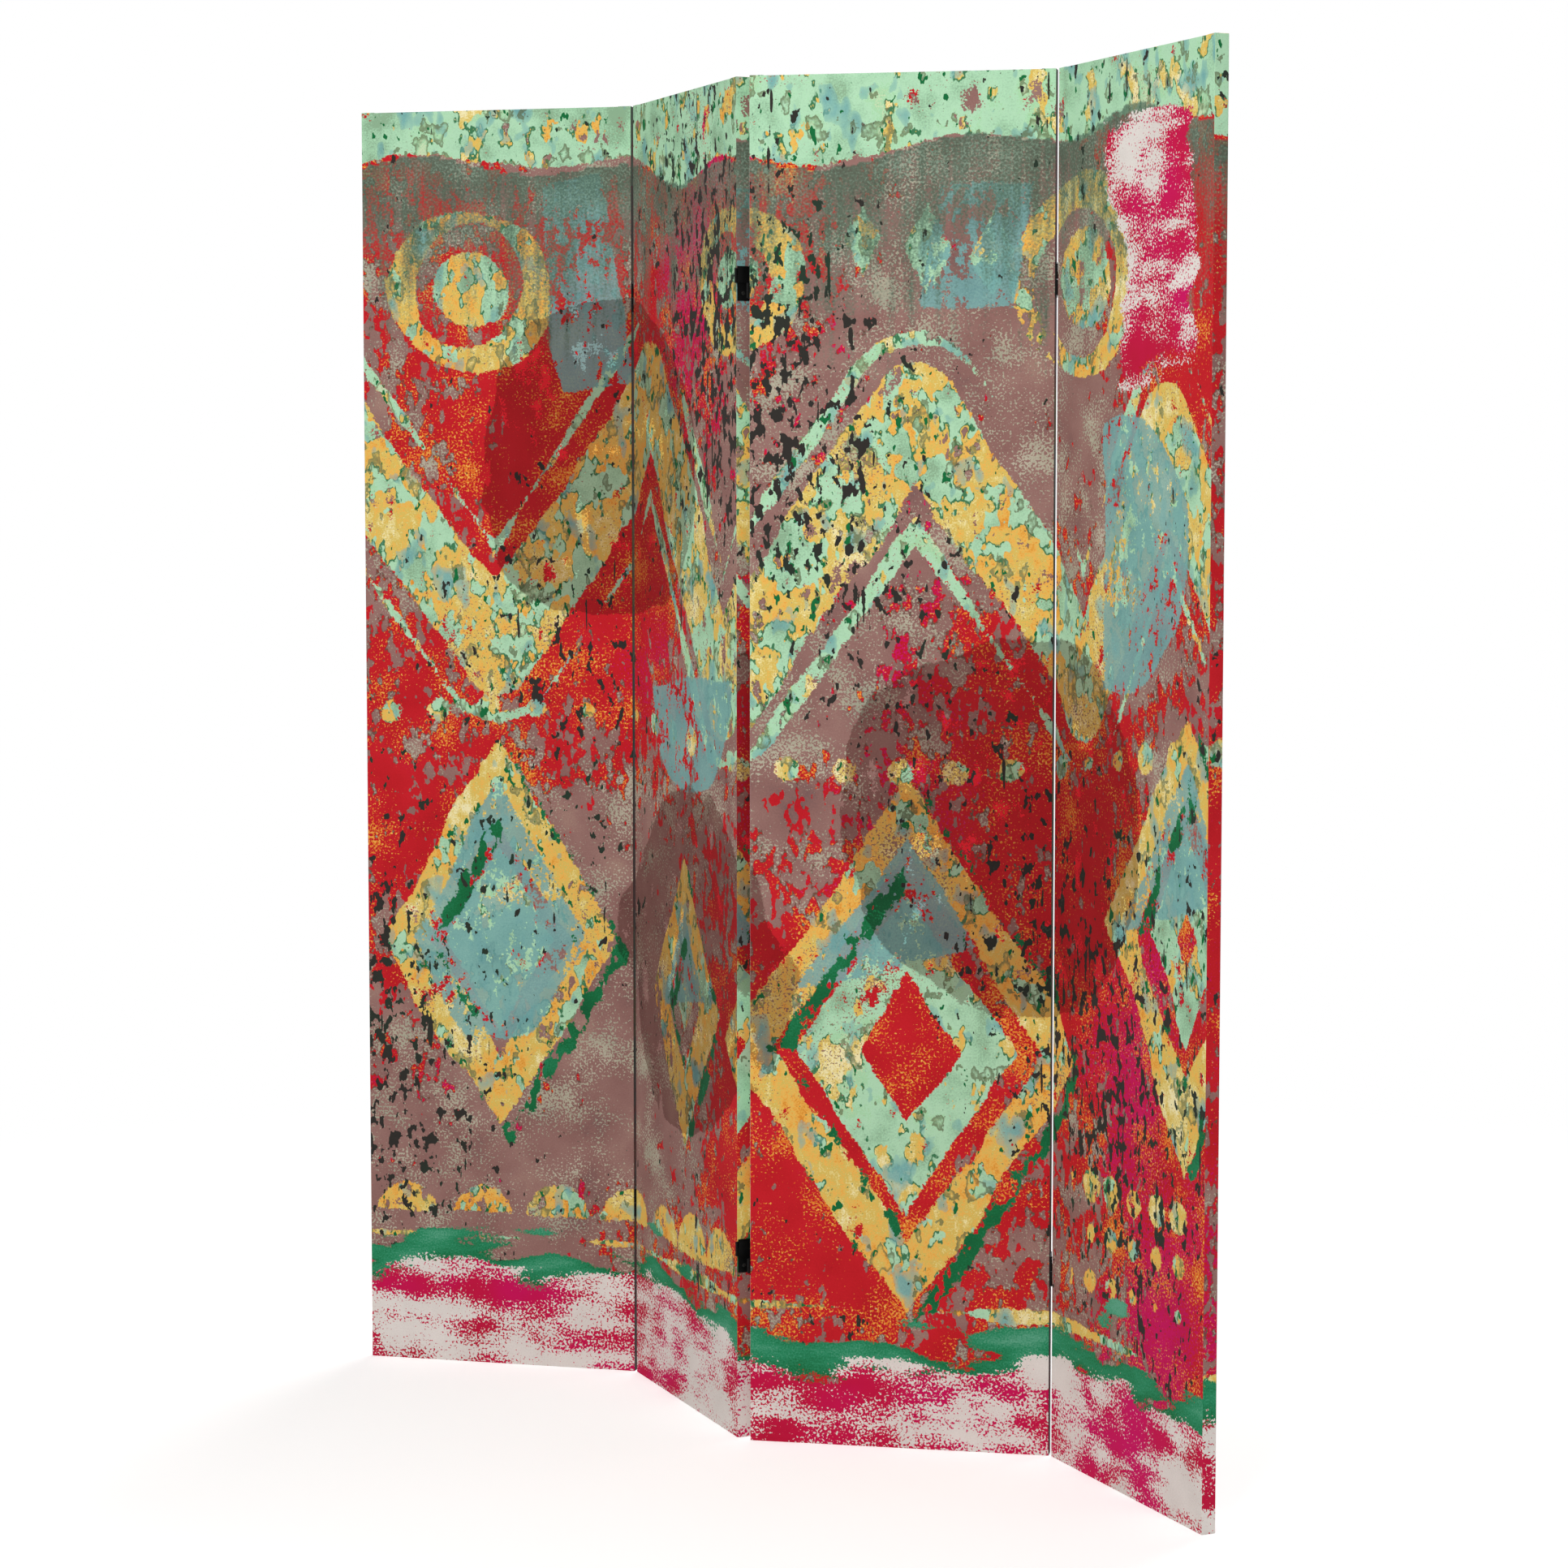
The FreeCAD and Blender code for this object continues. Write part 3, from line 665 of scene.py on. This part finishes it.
def light_forms(f, picture):
    """The light forms over the ground, with frayed outlines and worn places."""
    painted = stains(f, mint_and_ochre(f))
    outline = f.blend(light=1, broad=0.06, blob=0.012, crumb=0.009, sand=0.004)
    worn = f.cover(f.blend(tide=0.9, haze=0.6, fray=0.3, sand=0.3), 0.01, -0.2)
    covered = f.keep("covered", f.times(f.cover(outline, 0.0007), worn))
    return f.mix(covered, picture, painted)


def mauve_screen(f, picture):
    """Mauve over red, and here and there over the light forms, with pale sand and thin broken borders."""
    mauve = f.ramp(f.blend(cloud=0.9, mist=0.4, dust=0.3), "745756", "8C655F", "97716A", "A58577")
    pale = f.dusted("8F9685", "ADA792", "C9BFAC")
    mauve = f.paint(mauve, pale, 0.02, 0.11, salt=1.1, haze=0.9, tide=0.3)
    screen = f.blend(
        wash=0.13, pool=0.55, blob=0.6, cloud=0.45, covered=-0.3, fray=0.12, sand=0.06,
    )
    picture = f.mix(f.cover(screen, 0.005), picture, mauve)
    border = f.math("SUBTRACT", f.cover(screen, 0.01, -0.014), f.cover(screen, 0.01, 0.014))
    border = f.times(border, f.cover(f.blend(haze=0.8, knot=0.5), 0.03, -0.02))
    return f.mix(f.times(border, 0.7), picture, colour("3E4636"))


def teal_and_shadows(f, picture):
    """Patchy teal shapes, and deep green shadow edges beside the diamonds."""
    shade = f.cover(f.blend(shade=1, broad=0.08, crumb=0.014, sand=0.005), 0.001)
    patchy = f.cover(f.blend(haze=0.7, blob=0.6, fray=0.4, sand=0.1), 0.008, -0.07)
    teal = f.dusted("5F9294", "74A9A8", "8CBDB4")
    picture = f.mix(f.times(shade, f.times(patchy, 0.86)), picture, teal)
    shadow = f.cover(f.blend(shadow=1, puddle=0.05, crumb=0.014, sand=0.005), 0.001, 0.001)
    broken = f.cover(f.blend(pool=0.8, blob=0.5, sand=0.1), 0.01, -0.06)
    green = f.dusted("0A4A2C", "0F6B3C", "2A8C62")
    return f.mix(f.times(shadow, broken), picture, green)


def smoke_and_drips(f, picture):
    """Smoky green under the top band, dark blots and long drips."""
    smoke = f.blend(smoke=1, cloud=0.9, drip=1.2, fray=0.6, sand=1.2)
    ash = f.ramp(f.blend(salt=0.8, mist=0.5), "39463B", "4F6A58", "7E9C8A")
    picture = f.mix(f.spread(smoke, 0.35, 0.95, 0.0, 0.85), picture, ash)
    dark = f.ramp(f.value("drift"), "15402C", "2C2A26", "302A28")
    picture = f.paint(
        picture, dark, 0.005, 0.19, blot=0.9, puddle=0.6, ink=0.11, fray=0.12, sand=0.06,
    )
    return f.paint(picture, dark, 0.006, 0.24, drip=0.9, tide=0.5, ink=0.07, sand=0.06)


def brushed_foot(f, picture):
    """Brushed crimson and white, whiter at the foot, in a fine stipple, with a green brush line over it."""
    crimson = f.ramp(f.blend(drift=1.2, mist=0.5), "B4102C", "C60A42", "CE0462")
    white = f.dusted("D6CDC7", "E4DCD6", "EEE7E1")
    brushed = f.paint(
        crimson, white, 0.012, 0.0, streak=1.1, cloud=0.9, broad=0.6, fray=0.5, sand=1.1, foot=0.06,
    )
    brim = f.blend(foot=1, broad=0.12, streak=0.34, fray=0.04, sand=0.04)
    brush = f.ramp(f.blend(streak=1, dust=0.4), "0A3E28", "0F6B3C", "2A8C62", "5FA88A")
    picture = f.mix(f.cover(brim, 0.006, -0.034), picture, brush)
    pink = f.blend(pink=1, broad=0.12, streak=0.08, crumb=0.03, sand=0.02)
    return f.mix(f.cover(pink, 0.0008), picture, brushed)


def glaze_and_ends(f, picture):
    """Wide glazes darkening what is under them, painted shade on fold ends, and bare cloth turned over."""
    glaze = f.cover(f.blend(glaze=1, broad=0.12, pool=0.02, sand=0.006), 0.001)
    glaze = f.times(glaze, f.cover(f.blend(tide=0.8, cloud=0.7, sand=0.4), 0.01, -0.14))
    picture = f.mix(f.times(glaze, 0.85), picture, colour("B9A6A4"), blend="MULTIPLY")
    # Painted shade: near-black on the ends that meet in a fold, in place of the shadow in the gap between
    # panels.
    picture = f.mix(f.times(f.value("painted_fold_shade"), 0.9), picture, colour("1C130D"))
    bare = f.cover(f.blend(bare=1, broad=0.006), 0.0002)
    return f.mix(bare, picture, f.dusted("B5ACA5", "C4BBB4", "D0C8C1"))


def printed_canvas():
    """Matt canvas with a weathered, layered print.

    Each painted layer covers where its signed distance, with noise added, is positive: broad noise
    bends its outline, fine noise frays it. Pools and blobs are noise over a level, and sand is noise
    at the size of the cloth's threads. The weave is two crossed sets of waves.
    """
    f = Finish("printed_canvas", 0.85, 0.2)
    place = f.add("UVMap", {}, uv_map="print")
    for names, scale, detail, stretch, turn in PRINT_NOISES:
        for name in names:
            f.noise(name, place, scale, detail, stretch=stretch, turn=turn)
    picture = red_ground(f)
    over = (light_forms, mauve_screen, teal_and_shadows, smoke_and_drips, brushed_foot, glaze_and_ends)
    for layer in over:
        picture = layer(f, picture)
    f.set("Base Color", picture)
    threads = [
        f.add("TexWave", {"Vector": place, "Scale": THREAD_SCALE}, output="Fac", bands_direction=way)
        for way in ("X", "Y")
    ]
    f.keep("weave", f.times(*threads))
    f.bump(f.blend(weave=1, covered=0.6, dust=0.5), 0.00008, 0.5)
    return f.material


def black_paint():
    """Low-sheen black paint on steel, with dull patches and a few rubbed spots."""
    f = Finish("black_hinge_paint", 0.5, 0.12)
    place = f.object_place()
    patches = f.noise("patches", place, 120, 4)
    rubs = f.cover(f.noise("rubs", place, 420, 5, 0.7), 0.03, 0.27)
    black = f.ramp(patches, "020202", "050505", "090808")
    f.set("Base Color", f.mix(rubs, black, colour("242220")))
    f.set("Roughness", f.spread(patches, -NOISE_REACH, NOISE_REACH, 0.42, 0.62))
    f.bump(f.noise("pimples", place, 900), 0.00005, 0.4)
    return f.material


def screw_steel():
    """Blackened screw steel with turning marks."""
    f = Finish("blackened_screw_steel", 0.38)
    marks = f.noise("marks", f.object_place(), 1500)
    f.set("Base Color", f.ramp(marks, "232323", "3A3937", "55534F"))
    f.surface.inputs["Metallic"].default_value = 0.8
    return f.material


def bare_pine(name, turn, stretch):
    """Planed softwood: noise drawn out along the grain, darker in the late wood."""
    f = Finish(name, 0.65, 0.3)
    place = f.object_place()
    rings = f.noise("rings", place, 140, 4, stretch=stretch, turn=turn)
    f.noise("fleck", place, 700, stretch=stretch, turn=turn)
    f.set("Base Color", f.ramp(f.blend(rings=1, fleck=0.4), "B98F58", "D6B27C", "E4C896"))
    f.bump(rings, 0.0002, 0.4)
    return f.material


GRAIN_UP, GRAIN_ACROSS = (1, 1, 0.04), (0.04, 1, 1)


def finish_nodes():
    """Finish the nodes that stay showing: pine with its grain along each bar, and painted hinges."""
    paint = black_paint()
    upright = bare_pine("bare_pine_upright", 0, GRAIN_UP)
    level = {}
    for number, (turn, _) in PLACES.items():
        heading = math.atan2(turn[1, 0], turn[0, 0])
        level[number] = bare_pine(f"bare_pine_level_{number}", -heading, GRAIN_ACROSS)
    for name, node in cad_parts.items():
        kind, number, piece = name.split("_", 2)
        if piece.endswith("canvas"):
            continue
        bar = upright if piece.endswith("stile") else level[int(number)]
        node.data.materials.clear()
        node.data.materials.append(paint if kind == "hinge" else bar)


# Studio.


def seen(tree):
    """1 for rays that look at the stage, straight or in a shiny surface, and 0 for light on the object."""
    path = tree.nodes.new("ShaderNodeLightPath")
    share = path.outputs["Is Camera Ray"]
    for kind in ("Is Glossy Ray", "Is Transmission Ray"):
        either = tree.nodes.new("ShaderNodeMath")
        either.operation = "MAXIMUM"
        tree.links.new(share, either.inputs[0])
        tree.links.new(path.outputs[kind], either.inputs[1])
        share = either.outputs[0]
    return share


def add_floor():
    """A pale floor that shows the screen's shadow and fades to plain white away from it."""
    f = Finish("pale_floor", 0.9, 0.1)
    f.surface.inputs["Base Color"].default_value = (FLOOR_TONE, FLOOR_TONE, FLOOR_TONE, 1)
    f.surface.inputs["Emission Color"].default_value = (1, 1, 1, 1)
    looked_at = seen(f.tree)
    f.set("Emission Strength", f.times(looked_at, FLOOR_GLOW))
    far = f.add("VectorMath", {0: f.object_place()}, output="Value", operation="LENGTH")
    white = f.add("Emission", {"Color": (1, 1, 1, 1), "Strength": 1.0})
    share = f.times(f.cover(far, FLOOR_FADE_SOFT, FLOOR_FADE), looked_at)
    mixed = f.add("MixShader", {0: share, 1: f.surface.outputs[0], 2: white})
    f.tree.links.new(mixed, f.tree.nodes["Material Output"].inputs["Surface"])
    mesh = bpy.data.meshes.new("floor")
    corners = [(x * FLOOR_REACH, y * FLOOR_REACH, 0) for x, y in ((-1, -1), (1, -1), (1, 1), (-1, 1))]
    mesh.from_pydata(corners, [], [(0, 1, 2, 3)])
    mesh.materials.append(f.material)
    floor = bpy.data.objects.new("floor", mesh)
    bpy.context.scene.collection.objects.link(floor)


def add_lamp(name, place, size, power):
    """A square lamp aimed at the middle of the screen."""
    lamp = bpy.data.lights.new(name, "AREA")
    lamp.size = size
    lamp.energy = power
    holder = bpy.data.objects.new(name, lamp)
    holder.location = place
    aim = np.subtract(LAMP_AIM, place)
    holder.rotation_euler = (
        math.atan2(math.hypot(aim[0], aim[1]), -aim[2]), 0, math.atan2(aim[1], aim[0]) - math.pi / 2,
    )
    bpy.context.scene.collection.objects.link(holder)


def add_studio():
    """Soft light all round, brighter in front, one large lamp on each side, and plain white behind."""
    world = bpy.data.worlds.new("studio")
    bpy.context.scene.world = world
    world.use_nodes = True
    tree = world.node_tree

    def add(kind, links=(), **values):
        """A node of the world, with links and values on its inputs."""
        node = tree.nodes.new(f"ShaderNode{kind}")
        for key, socket in links:
            tree.links.new(socket, node.inputs[key])
        for name, value in values.items():
            node.inputs[name].default_value = value
        return node

    way = add("TexCoord").outputs["Generated"]
    ahead = add("VectorMath", [(0, way)])
    ahead.operation = "DOT_PRODUCT"
    ahead.inputs[1].default_value = BRIGHT_WAY
    low_and_high = {"From Min": -0.5, "From Max": 0.5, "To Min": REAR_LIGHT, "To Max": FRONT_LIGHT}
    light = add("MapRange", [("Value", ahead.outputs["Value"])], **low_and_high).outputs[0]
    strength = add("Mix", [(0, seen(tree)), (2, light)], B=1.0).outputs[0]
    background = tree.nodes["Background"]
    background.inputs["Color"].default_value = (1, 1, 1, 1)
    tree.links.new(strength, background.inputs["Strength"])
    add_lamp("key", *KEY_LAMP)
    add_lamp("rear", *REAR_LAMP)


def add_camera():
    """The photograph's camera, tilted a little down and turned to the left."""
    lens = bpy.data.cameras.new("camera")
    lens.lens = FOCAL_LENGTH
    lens.sensor_width = SENSOR_WIDTH
    camera = bpy.data.objects.new("camera", lens)
    camera.location = CAMERA_PLACE
    camera.rotation_euler = (math.radians(90 - CAMERA_DOWN), 0, math.radians(CAMERA_TURN))
    bpy.context.scene.collection.objects.link(camera)
    bpy.context.scene.camera = camera


bpy.context.scene.view_settings.view_transform = "Standard"
canvas = printed_canvas()
steel = screw_steel()
for number in PANELS:
    add_front_cloth(number, canvas)
    add_back_cloth(number, canvas)
    for end in (-1, 1):
        if number + end in PANELS:
            add_screws(number, end, steel)
finish_nodes()
add_floor()
add_studio()
add_camera()
